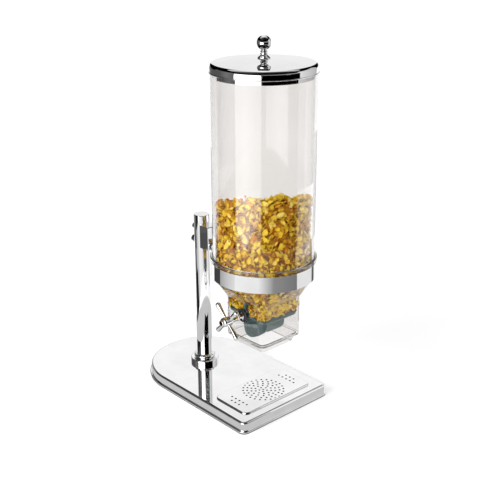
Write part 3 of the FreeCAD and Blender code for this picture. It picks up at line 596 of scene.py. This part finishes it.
def vaneTree(values):
    # four vanes on one hub, each a tapered sheet with round outer corners, bent by its own flex
    tree, given, result = startTree("vanes", {
        "Root radius": ("Float", values["rootRadius"]), "Tip radius": ("Float", values["tipRadius"]),
        "Half width": ("Float", values["halfWidth"]), "Corner": ("Float", values["corner"]),
        "Root thickness": ("Float", values["rootThickness"]),
        "Tip thickness": ("Float", values["tipThickness"]),
        "Axis height": ("Float", values["axisHeight"]),
        **{name + " flex": ("Float", 0.0) for name in values["flex"]},
        "Skin": ("Material", None),
    })
    wide, deep, tall = values["grid"]
    block = addNode(tree, "GeometryNodeMeshCube",
                    {"Size": (1, 1, 1), "Vertices X": wide, "Vertices Y": deep, "Vertices Z": tall})
    place = split(tree, addNode(tree, "GeometryNodeInputPosition").outputs[0])
    along = calc(tree, "ADD", place[2], 0.5)
    reach = calc(tree, "SUBTRACT", given["Tip radius"], given["Root radius"])
    radius = calc(tree, "ADD", given["Root radius"], calc(tree, "MULTIPLY", along, reach))
    # past the corner's start the side falls back along a quarter circle
    start = calc(tree, "SUBTRACT", given["Tip radius"], given["Corner"])
    past = calc(tree, "MAXIMUM", 0.0, calc(tree, "SUBTRACT", radius, start))
    left = calc(tree, "SUBTRACT", squared(tree, given["Corner"]), squared(tree, past))
    fall = calc(tree, "SQRT", calc(tree, "MAXIMUM", 0.0, left))
    half = calc(tree, "SUBTRACT", given["Half width"], calc(tree, "SUBTRACT", given["Corner"], fall))
    across = calc(tree, "MULTIPLY", calc(tree, "MULTIPLY", place[0], 2.0), half)
    thick = calc(tree, "ADD", given["Root thickness"], calc(
        tree, "MULTIPLY", along, calc(tree, "SUBTRACT", given["Tip thickness"], given["Root thickness"])))
    shaped = addNode(tree, "GeometryNodeSetPosition", {
        "Geometry": block.outputs["Mesh"],
        "Position": joinXYZ(tree, across, calc(tree, "MULTIPLY", place[1], thick), radius)})
    line = addNode(tree, "GeometryNodeMeshLine", {"Count": len(values["flex"]), "Offset": (0, 0, 0)})
    index = addNode(tree, "GeometryNodeInputIndex").outputs[0]
    turn = calc(tree, "MULTIPLY", index, 2 * math.pi / len(values["flex"]))
    placed = addNode(tree, "GeometryNodeInstanceOnPoints", {
        "Points": line.outputs["Mesh"], "Instance": shaped.outputs[0],
        "Rotation": joinXYZ(tree, turn, 0.0, 0.0)})
    numbered = addNode(tree, "GeometryNodeStoreNamedAttribute",
                       {"Geometry": placed.outputs[0], "Name": "vane", "Value": index},
                       domain="INSTANCE", data_type="FLOAT")
    realized = addNode(tree, "GeometryNodeRealizeInstances", {"Geometry": numbered.outputs[0]})
    vane = addNode(tree, "GeometryNodeInputNamedAttribute", {"Name": "vane"}, data_type="FLOAT").outputs[0]
    flex = addNode(tree, "GeometryNodeIndexSwitch", data_type="FLOAT")
    while len(flex.index_switch_items) < len(values["flex"]):
        flex.index_switch_items.new()
    tree.links.new(vane, flex.inputs["Index"])
    for number, name in enumerate(values["flex"]):
        tree.links.new(given[name + " flex"], flex.inputs[str(number)])
    here = split(tree, addNode(tree, "GeometryNodeInputPosition").outputs[0])
    out = span2d(tree, here[1], here[2])
    share = calc(tree, "DIVIDE", calc(tree, "SUBTRACT", out, given["Root radius"]), reach, clamp=True)
    bend = calc(tree, "MULTIPLY", flex.outputs[0], calc(tree, "POWER", share, values["flexCurve"]))
    angle = calc(tree, "ADD", calc(tree, "ARCTAN2", here[2], here[1]), bend)
    level = calc(tree, "MULTIPLY", out, calc(tree, "COSINE", angle))
    raised = calc(tree, "MULTIPLY", out, calc(tree, "SINE", angle))
    bent = joinXYZ(tree, here[0], level, calc(tree, "ADD", given["Axis height"], raised))
    moved = addNode(tree, "GeometryNodeSetPosition", {"Geometry": realized.outputs[0], "Position": bent})
    joined = addNode(tree, "GeometryNodeJoinGeometry", {0: moved.outputs[0]})
    tree.links.new(given["Geometry"], joined.inputs[0])
    skinned = addNode(tree, "GeometryNodeSetMaterial",
                      {"Geometry": joined.outputs[0], "Material": given["Skin"]})
    tree.links.new(skinned.outputs[0], result.inputs[0])
    return tree


def turnProfile(mesh, profile, steps, height):
    # a closed profile of (along X, radius) points turned round the rotor's axis
    bm = bmesh.new()
    rings = []
    for step in range(steps):
        angle = 2 * math.pi * step / steps
        rings.append([bm.verts.new((x, radius * math.cos(angle), height + radius * math.sin(angle)))
                      for x, radius in profile])
    for step in range(steps):
        this, following = rings[step], rings[(step + 1) % steps]
        for point in range(len(profile)):
            after = (point + 1) % len(profile)
            bm.faces.new((this[point], this[after], following[after], following[point]))
    bmesh.ops.recalc_face_normals(bm, faces=bm.faces)
    bm.to_mesh(mesh)
    bm.free()


def smoothBelow(piece, degrees):
    # smooth faces, with edges kept where they turn by more than the angle
    piece.data.shade_smooth()
    bm = bmesh.new()
    bm.from_mesh(piece.data)
    for edge in bm.edges:
        if len(edge.link_faces) == 2 and edge.calc_face_angle() > math.radians(degrees):
            edge.smooth = False
    bm.to_mesh(piece.data)
    bm.free()


def makePaddleWheel(values):
    half, collar = values["halfWidth"], values["hubCollar"]
    outer, bore = values["hubRadius"], values["boreRadius"]
    profile = [(-half, bore), (-half, outer - collar), (-half + collar, outer), (half - collar, outer),
               (half, outer - collar), (half, bore)]
    mesh = bpy.data.meshes.new("hub")
    turnProfile(mesh, profile, values["hubSteps"], values["axisHeight"])
    wheel = newPiece("flexed_paddle_wheel", mesh)
    growMesh(wheel, vaneTree(values), {
        **{name + " flex": math.radians(angle) for name, angle in values["flex"].items()},
        "Skin": finishes["vaneRubber"]})
    rounding = wheel.modifiers.new("rounding", "BEVEL")
    rounding.width = values["edgeRound"]
    rounding.segments = values["edgeSteps"]
    rounding.limit_method = "ANGLE"
    settleMesh(wheel)
    smoothBelow(wheel, values["smoothBelow"])
    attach(wheel, "rotor")
    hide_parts("paddle_wheel")


makePaddleWheel(paddleWheel)
print("paddle wheel made")


flakes = {
    "seed": 7,
    "shapes": 10,
    "outline": 8,               # points round one flake
    "long": (0.95, 1.15),       # shares of the half size that a flake's two ways are drawn from
    "wide": (0.68, 0.95),
    "ragged": (0.8, 1.12),      # the same for each point of its outline
    "twist": 0.6,
    "ring": 0.55,               # where the ring inside the outline lies
    "ringRim": 0.45,            # how much of the singed rim it shows
    "wave": 0.12,               # small unevenness of the sheet, and how fine it is
    "waveScale": 1.7,
    "halfSize": 6.0 * mm,
    "thickness": 1.0 * mm,
    "curl": 0.42,               # rise at the edge, as a share of the half size
    "spacing": 4.6 * mm,        # least distance between two flakes' middles, measured on the food's outside
    "mostDense": 90000.0,       # tries for each square metre before the spacing thins them out
    "depth": (0.6 * mm, 9.0 * mm),
    "tilt": math.radians(62),
    "smallest": 0.75,
    "largest": 1.25,
    "coreInset": 9.0 * mm,
    "pocketInset": 7.2 * mm,
    "coreVoxel": 5.0 * mm,
    "coreRough": 3.0 * mm,
    "coreGrain": 140,           # bumps for each metre, about
}

foodSpace = {
    "tubeRadius": 85.5 * mm,    # the tube's inside, less a little
    "throatTop": 266.0 * mm,
    "boxTop": 217.0 * mm,
    "boxHalf": 46.9 * mm,
    "wallGap": 0.3 * mm,
    "rotorHeight": 194.0 * mm,
    "rotorClear": 47.0 * mm,    # what the turning pockets sweep
    "sliverBottom": 199.0 * mm,
    "mergeWithin": 0.01 * mm,
    "longestEdge": 12.0 * mm,   # longer ones are cut, so that the surface can be parted by height
    "edgeCuts": 3,
    "rayStart": 0.2,            # m from the axis, outside everything
}

pockets = {
    "radius": 46.2 * mm,
    "half": 45.8 * mm,
    "inner": 10.0 * mm,
    "angles": {"back": (8, 84), "front": (97, 184)},    # degrees from the back, round over the top
    "steps": 14,
    "seed": 23,
}


def flakeShape(number, values):
    # one curled flake: a rim, a ring inside it on both faces and a pole on each face
    draw = random.Random(values["seed"] * 100 + number)
    count, size = values["outline"], values["halfSize"]
    long, wide = draw.uniform(*values["long"]), draw.uniform(*values["wide"])
    curlX, curlY = draw.uniform(-1, 1), draw.uniform(-1, 1)
    twist = draw.uniform(-values["twist"], values["twist"])
    lengths = [draw.uniform(*values["ragged"]) for _ in range(count)]
    fine, ring = values["waveScale"], values["ring"]

    def point(share, step, side):
        angle = 2 * math.pi * step / count
        x = share * long * lengths[step % count] * math.cos(angle)
        y = share * wide * lengths[step % count] * math.sin(angle)
        rise = values["curl"] * (curlX * x * x + curlY * y * y + twist * x * y)
        # the number moves each shape to its own place in the noise
        wave = values["wave"] * noise.noise(Vector((x * fine + number * 3.1, y * fine, number * 1.3)))
        return Vector((x, y, rise + wave)) * size + Vector((0, 0, side * values["thickness"] / 2))

    verts = [point(0, 0, 1)]
    verts += [point(ring, step, 1) for step in range(count)]
    verts += [point(1.0, step, 0) for step in range(count)]
    verts += [point(ring, step, -1) for step in range(count)]
    verts.append(point(0, 0, -1))
    upper, rim, lower, last = 1, 1 + count, 1 + 2 * count, 1 + 3 * count
    faces = []
    for step in range(count):
        after = (step + 1) % count
        faces.append((0, upper + step, upper + after))
        faces.append((upper + step, rim + step, rim + after, upper + after))
        faces.append((rim + step, lower + step, lower + after, rim + after))
        faces.append((lower + step, last, lower + after))
    mesh = bpy.data.meshes.new("flakeShape%d" % number)
    mesh.from_pydata(verts, [], faces)
    inner = [0.0] + [values["ringRim"]] * count
    rims = mesh.attributes.new("rim", "FLOAT", "POINT")
    rims.data.foreach_set("value", inner + [1.0] * count + inner[::-1])
    mesh.shade_smooth()
    for edge in mesh.edges:
        edge.use_edge_sharp = all(rim <= vertex < lower for vertex in edge.vertices)
    return bpy.data.objects.new(mesh.name, mesh)


def flakeTree(name, space, turning):
    # flakes strewn over and under the surface that comes in, then kept inside the walls
    tree, given, result = startTree(name, {
        "Spacing": ("Float", 0.01), "Most dense": ("Float", 20000.0), "Half size": ("Float", 0.005),
        "Least depth": ("Float", 0.0), "Most depth": ("Float", 0.0), "Tilt": ("Float", 0.0),
        "Smallest": ("Float", 1.0), "Largest": ("Float", 1.0), "Seed": ("Int", 0),
        "Shapes": ("Collection", None), "Skin": ("Material", None),
    })

    def drawn(kind, low, high, step):
        node = addNode(tree, "FunctionNodeRandomValue", data_type=kind)
        tree.links.new(calc(tree, "ADD", given["Seed"], float(step)), node.inputs["Seed"])
        for socket, value in (("Min", low), ("Max", high)):
            target = [entry for entry in node.inputs if entry.name == socket and entry.enabled][0]
            if isinstance(value, bpy.types.NodeSocket):
                tree.links.new(value, target)
            else:
                target.default_value = value
        return [entry for entry in node.outputs if entry.enabled][0]

    strewn = addNode(tree, "GeometryNodeDistributePointsOnFaces", {
        "Mesh": given["Geometry"], "Distance Min": given["Spacing"],
        "Density Max": given["Most dense"], "Seed": given["Seed"]}, distribute_method="POISSON")
    lean = drawn("FLOAT_VECTOR", (-1, -1, -1), (1, 1, 1), 2)
    leaned = vector(tree, "MULTIPLY", lean, joinXYZ(tree, given["Tilt"], given["Tilt"], math.pi))
    size = drawn("FLOAT", given["Smallest"], given["Largest"], 3)
    # a leaning flake starts deeper, so that its edge only just touches the wall
    leanX, leanY, _ = split(tree, leaned)
    facing = calc(tree, "MULTIPLY", calc(tree, "COSINE", leanX), calc(tree, "COSINE", leanY))
    slope = calc(tree, "SQRT", calc(tree, "SUBTRACT", 1.0, squared(tree, facing)))
    reach = calc(tree, "MULTIPLY", calc(tree, "MULTIPLY", slope, size), given["Half size"])
    depth = calc(tree, "ADD", reach, drawn("FLOAT", given["Least depth"], given["Most depth"], 1))
    sunk = scaled(tree, strewn.outputs["Normal"], calc(tree, "MULTIPLY", depth, -1.0))
    under = addNode(tree, "GeometryNodeSetPosition", {"Geometry": strewn.outputs["Points"], "Offset": sunk})
    spun = addNode(tree, "FunctionNodeRotateRotation",
                   {0: strewn.outputs["Rotation"],
                    1: addNode(tree, "FunctionNodeEulerToRotation", {0: leaned}).outputs[0]},
                   rotation_space="LOCAL")
    shapes = addNode(tree, "GeometryNodeCollectionInfo",
                     {"Collection": given["Shapes"], "Separate Children": True, "Reset Children": True})
    laid = addNode(tree, "GeometryNodeInstanceOnPoints", {
        "Points": under.outputs[0], "Instance": shapes.outputs[0], "Pick Instance": True,
        "Rotation": spun.outputs[0], "Scale": joinXYZ(tree, size, size, size)})
    toned = addNode(tree, "GeometryNodeStoreNamedAttribute",
                    {"Geometry": laid.outputs[0], "Name": "tone", "Value": drawn("FLOAT", 0.0, 1.0, 4)},
                    domain="INSTANCE", data_type="FLOAT")
    real = addNode(tree, "GeometryNodeRealizeInstances", {"Geometry": toned.outputs[0]})
    here = addNode(tree, "GeometryNodeInputPosition").outputs[0]
    x, y, z = split(tree, here)
    if turning:
        kept = keepInPocket(tree, x, y, z)
    else:
        kept = keepInHopper(tree, given["Geometry"], here, x, y, z, space)
    held = addNode(tree, "GeometryNodeSetPosition", {"Geometry": real.outputs[0], "Position": kept})
    skinned = addNode(tree, "GeometryNodeSetMaterial",
                      {"Geometry": held.outputs[0], "Material": given["Skin"]})
    tree.links.new(skinned.outputs[0], result.inputs[0])
    return tree


def keepInPocket(tree, x, y, z):
    # inside the round that the vanes sweep, and between the box's sides
    height = calc(tree, "SUBTRACT", z, foodSpace["rotorHeight"])
    out = calc(tree, "MAXIMUM", span2d(tree, y, height), mm)
    shrink = calc(tree, "MINIMUM", 1.0, calc(tree, "DIVIDE", pockets["radius"], out))
    return joinXYZ(tree, between(tree, x, pockets["half"]), calc(tree, "MULTIPLY", y, shrink),
                   calc(tree, "ADD", foodSpace["rotorHeight"], calc(tree, "MULTIPLY", height, shrink)))


def keepInHopper(tree, surface, here, x, y, z, space):
    # inside the tube, the funnel or the box, whichever is at that height, and clear of the turning pockets
    outward = vector(tree, "NORMALIZE", vector(tree, "MULTIPLY", here, (1, 1, 0)))
    radius = vector(tree, "LENGTH", vector(tree, "MULTIPLY", here, (1, 1, 0)))
    axis = joinXYZ(tree, 0.0, 0.0, z)
    far = space["rayStart"]
    outside = vector(tree, "ADD", axis, scaled(tree, outward, far))
    ray = addNode(tree, "GeometryNodeRaycast", {
        "Target Geometry": surface, "Source Position": outside,
        "Ray Direction": scaled(tree, outward, -1.0), "Ray Length": far})
    wall = calc(tree, "SUBTRACT", far - space["wallGap"], ray.outputs["Hit Distance"])
    inTube = addNode(tree, "FunctionNodeCompare", {0: z, 1: space["throatTop"]},
                     data_type="FLOAT", operation="GREATER_THAN").outputs[0]
    limit = pick(tree, "FLOAT", inTube, wall, space["tubeRadius"])
    held = vector(tree, "ADD", axis, scaled(tree, outward, calc(tree, "MINIMUM", radius, limit)))
    inBox = addNode(tree, "FunctionNodeCompare", {0: z, 1: space["boxTop"]},
                    data_type="FLOAT", operation="LESS_THAN").outputs[0]
    half = space["boxHalf"]
    boxed = joinXYZ(tree, between(tree, x, half), between(tree, y, half),
                    calc(tree, "MAXIMUM", z, space["sliverBottom"]))
    kept = split(tree, pick(tree, "VECTOR", inBox, held, boxed))
    height = calc(tree, "SUBTRACT", kept[2], space["rotorHeight"])
    out = calc(tree, "MAXIMUM", span2d(tree, kept[1], height), mm)
    push = calc(tree, "MAXIMUM", 1.0, calc(tree, "DIVIDE", space["rotorClear"], out))
    return joinXYZ(tree, kept[0], calc(tree, "MULTIPLY", kept[1], push),
                   calc(tree, "ADD", space["rotorHeight"], calc(tree, "MULTIPLY", height, push)))


def strewFlakes(name, mesh, tree, shapes, seed, values):
    piece = newPiece(name, mesh)
    growMesh(piece, tree, {
        "Spacing": values["spacing"], "Most dense": values["mostDense"], "Half size": values["halfSize"],
        "Least depth": values["depth"][0], "Most depth": values["depth"][1], "Tilt": values["tilt"],
        "Smallest": values["smallest"], "Largest": values["largest"], "Seed": seed,
        "Shapes": shapes, "Skin": finishes["toastedFlake"]})
    print(name, len(piece.data.polygons), "faces")
    return piece


def foodSurface():
    # the outside of the fill as one merged mesh
    bm = bmesh.new()
    bm.from_mesh(nodes["cereal_fill"].data)
    bmesh.ops.remove_doubles(bm, verts=bm.verts, dist=foodSpace["mergeWithin"])
    mesh = bpy.data.meshes.new("foodSurface")
    bm.to_mesh(mesh)
    bm.free()
    return mesh


def partOf(mesh, name, low, high):
    # the faces of the mesh whose middles lie between two heights
    bm = bmesh.new()
    bm.from_mesh(mesh)
    longEdges = [edge for edge in bm.edges if edge.calc_length() > foodSpace["longestEdge"]]
    bmesh.ops.subdivide_edges(bm, edges=longEdges, cuts=foodSpace["edgeCuts"])
    bmesh.ops.triangulate(bm, faces=bm.faces)
    outside = [face for face in bm.faces if not low <= face.calc_center_median().z < high]
    bmesh.ops.delete(bm, geom=outside, context="FACES")
    part = bpy.data.meshes.new(name)
    bm.to_mesh(part)
    bm.free()
    return part


def shrunkCore(name, mesh, inset, values, body):
    # the body of the food behind the flakes, drawn in from the outside and roughened
    core = newPiece(name, mesh)
    melt = core.modifiers.new("melt", "REMESH")
    melt.mode = "VOXEL"
    melt.voxel_size = values["coreVoxel"]
    settleMesh(core)
    for vertex, normal in [(v, v.normal.copy()) for v in core.data.vertices]:
        rough = values["coreRough"] * noise.noise(vertex.co * values["coreGrain"])
        vertex.co -= normal * (inset + rough)
    core.data.materials.clear()
    # the core's dark brown finish is painted shade for the gaps between the flakes
    core.data.materials.append(finishes["cerealDepth"])
    core.data.shade_smooth()
    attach(core, body)


def pocketMesh(first, last):
    # the wedge of food between two vanes
    low, high, half = pockets["inner"], pockets["radius"], pockets["half"] - mm
    bm = bmesh.new()
    rows = []
    for side in (-half, half):
        ring = []
        for radius in (low, high):
            for step in range(pockets["steps"] + 1):
                turned = step if radius == high else pockets["steps"] - step
                angle = math.radians(first + (last - first) * turned / pockets["steps"])
                ring.append(bm.verts.new((side, radius * math.cos(angle),
                                          foodSpace["rotorHeight"] + radius * math.sin(angle))))
        rows.append(ring)
        bm.faces.new(ring)
    for point in range(len(rows[0])):
        after = (point + 1) % len(rows[0])
        bm.faces.new((rows[0][point], rows[0][after], rows[1][after], rows[1][point]))
    bmesh.ops.recalc_face_normals(bm, faces=bm.faces)
    bmesh.ops.triangulate(bm, faces=bm.faces)
    mesh = bpy.data.meshes.new("pocket")
    bm.to_mesh(mesh)
    bm.free()
    return mesh


def joinMeshes(name, meshes):
    bm = bmesh.new()
    for mesh in meshes:
        bm.from_mesh(mesh)
    joined = bpy.data.meshes.new(name)
    bm.to_mesh(joined)
    bm.free()
    return joined


def sliverMesh(space):
    # the thin gap between the box's front and back walls and the turning pockets, which flakes fill too
    low, high, half = space["sliverBottom"], space["boxTop"], space["boxHalf"] - mm
    verts, faces = [], []
    for side in (-1, 1):
        start = len(verts)
        verts += [(-half * side, half * side, low), (half * side, half * side, low),
                  (half * side, half * side, high), (-half * side, half * side, high)]
        faces.append((start + 3, start + 2, start + 1, start))
    mesh = bpy.data.meshes.new("sliver")
    mesh.from_pydata(verts, [], faces)
    return mesh


def makeCereal(values):
    shapes = bpy.data.collections.new("flakeShapes")
    for number in range(values["shapes"]):
        shapes.objects.link(flakeShape(number, values))
    surface = foodSurface()
    hopperTree = flakeTree("hopperFlakes", foodSpace, turning=False)
    pocketTree = flakeTree("pocketFlakes", foodSpace, turning=True)
    throat = foodSpace["throatTop"]
    tubePart = partOf(surface, "upper", throat, 1.0)
    upper = strewFlakes("hopper_flakes", tubePart, hopperTree, shapes, values["seed"], values)
    funnelPart = joinMeshes("lower", [partOf(surface, "lower", 0.0, throat), sliverMesh(foodSpace)])
    lower = strewFlakes("funnel_flakes", funnelPart, hopperTree, shapes, values["seed"] + 10, values)
    wedges = [pocketMesh(*span) for span in pockets["angles"].values()]
    turning = strewFlakes("pocket_flakes", joinMeshes("wedges", wedges), pocketTree, shapes,
                          pockets["seed"], values)
    for piece, body in ((upper, "stand"), (lower, "stand"), (turning, "rotor")):
        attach(piece, body)
    shrunkCore("cereal_core", surface, values["coreInset"], values, "stand")
    shrunkCore("pocket_core", joinMeshes("wedgeCore", wedges), values["pocketInset"], values, "rotor")
    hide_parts("cereal_fill")
    for thing in list(shapes.objects):
        bpy.data.objects.remove(thing)
    bpy.data.collections.remove(shapes)


makeCereal(flakes)
print("cereal made")
